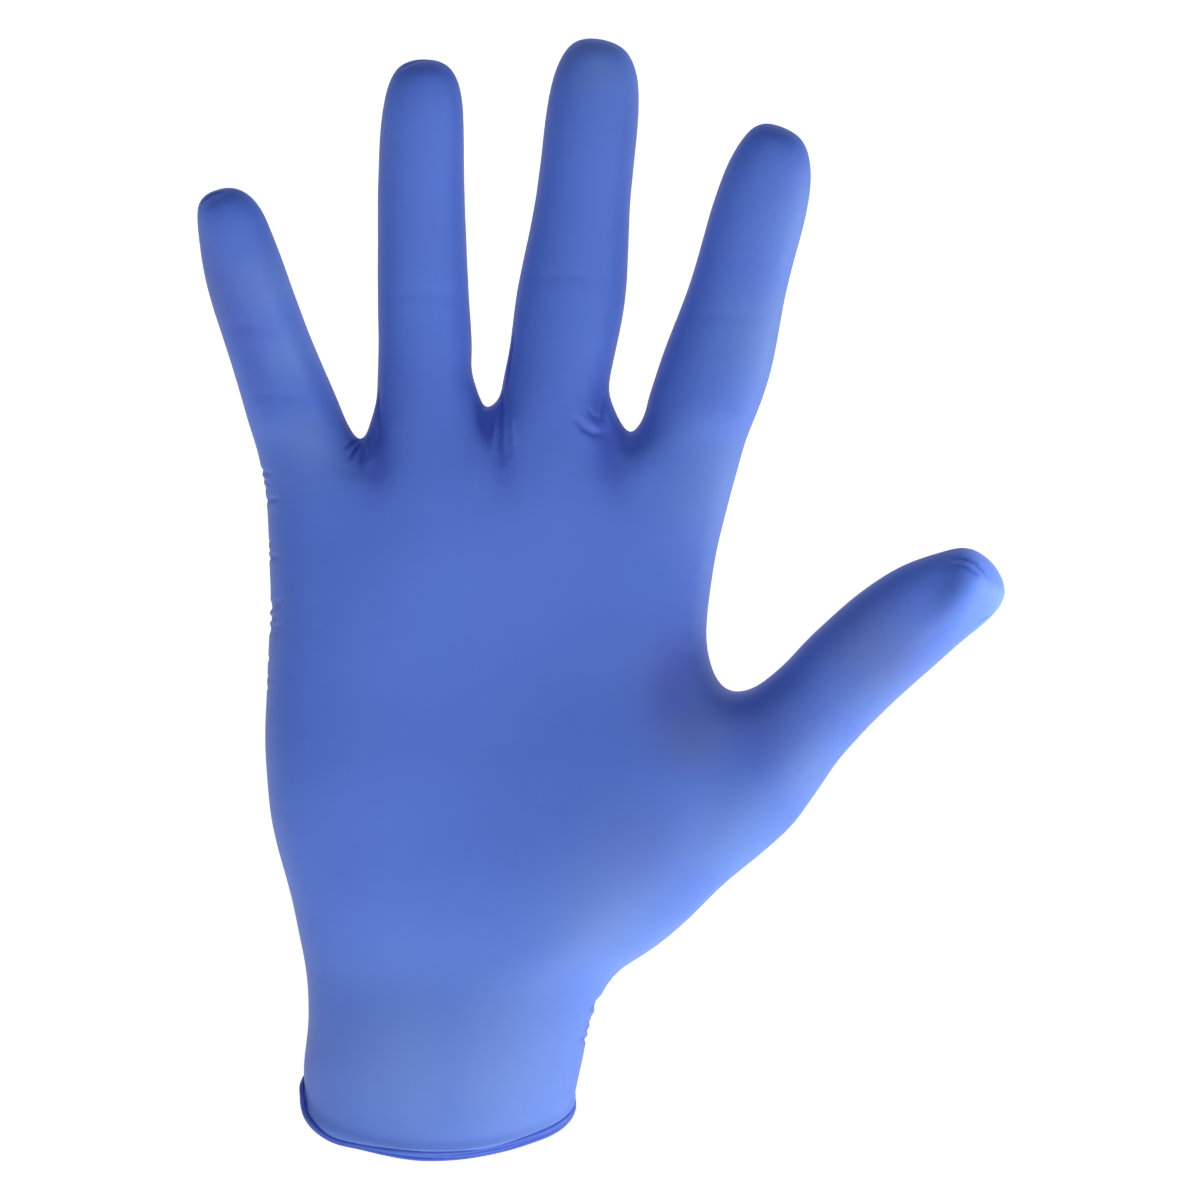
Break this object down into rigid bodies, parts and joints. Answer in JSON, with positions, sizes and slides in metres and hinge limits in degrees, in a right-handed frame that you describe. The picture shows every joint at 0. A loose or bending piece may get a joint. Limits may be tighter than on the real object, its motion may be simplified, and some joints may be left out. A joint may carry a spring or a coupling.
{
  "type": "nitrile exam glove",
  "caption": "Disposable thin-film exam glove for a right hand in its worn shape, hollow through the palm, thumb and finger stalls, open at the wrist with a rolled bead.",
  "frame": {"origin": "middle of the wrist opening, in the plane of the cuff's rim", "axes": "+Z to the fingertips, +X to the thumb's side, +Y to the back of the hand, so the palm faces -Y"},
  "size_m": [0.1691, 0.0458, 0.2335],
  "materials": {
    "nitrile": "satin blue nitrile, slightly textured"
  },
  "bodies": {
    "root": {"glove": "nitrile"}
  },
  "joints": []
}
